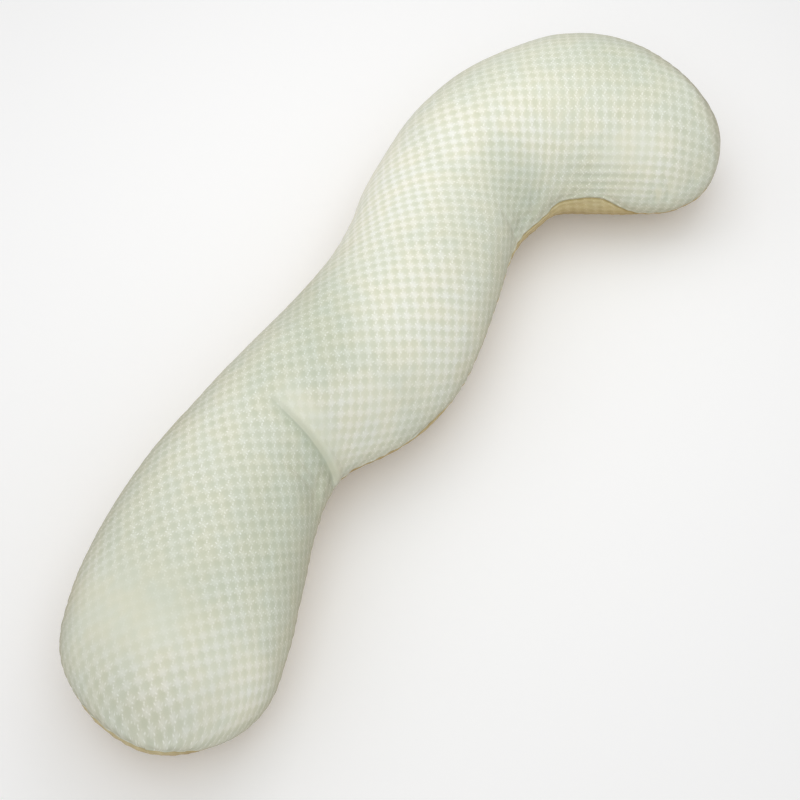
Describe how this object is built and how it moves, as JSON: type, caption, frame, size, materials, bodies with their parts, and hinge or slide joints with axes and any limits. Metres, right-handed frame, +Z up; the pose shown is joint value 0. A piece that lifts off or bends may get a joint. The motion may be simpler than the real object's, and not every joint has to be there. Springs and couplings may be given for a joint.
{
  "type": "body pillow",
  "caption": "Serpentine body pillow: a filled S-shaped tube of waffle knit with a rounded head and foot, sewn round its side and lying face up.",
  "frame": {"origin": "on the surface that the pillow lies on, under the middle of its bounding box", "axes": "+X runs from the foot to the head, +Z points up through the front panel, and the head bends towards -Y"},
  "size_m": [1.0772, 0.3526, 0.1885],
  "materials": {
    "front_knit": "matte waffle knit, pale green",
    "back_knit": "matte knit, warm beige"
  },
  "bodies": {
    "root": {"pillow": "front_knit"}
  },
  "joints": []
}
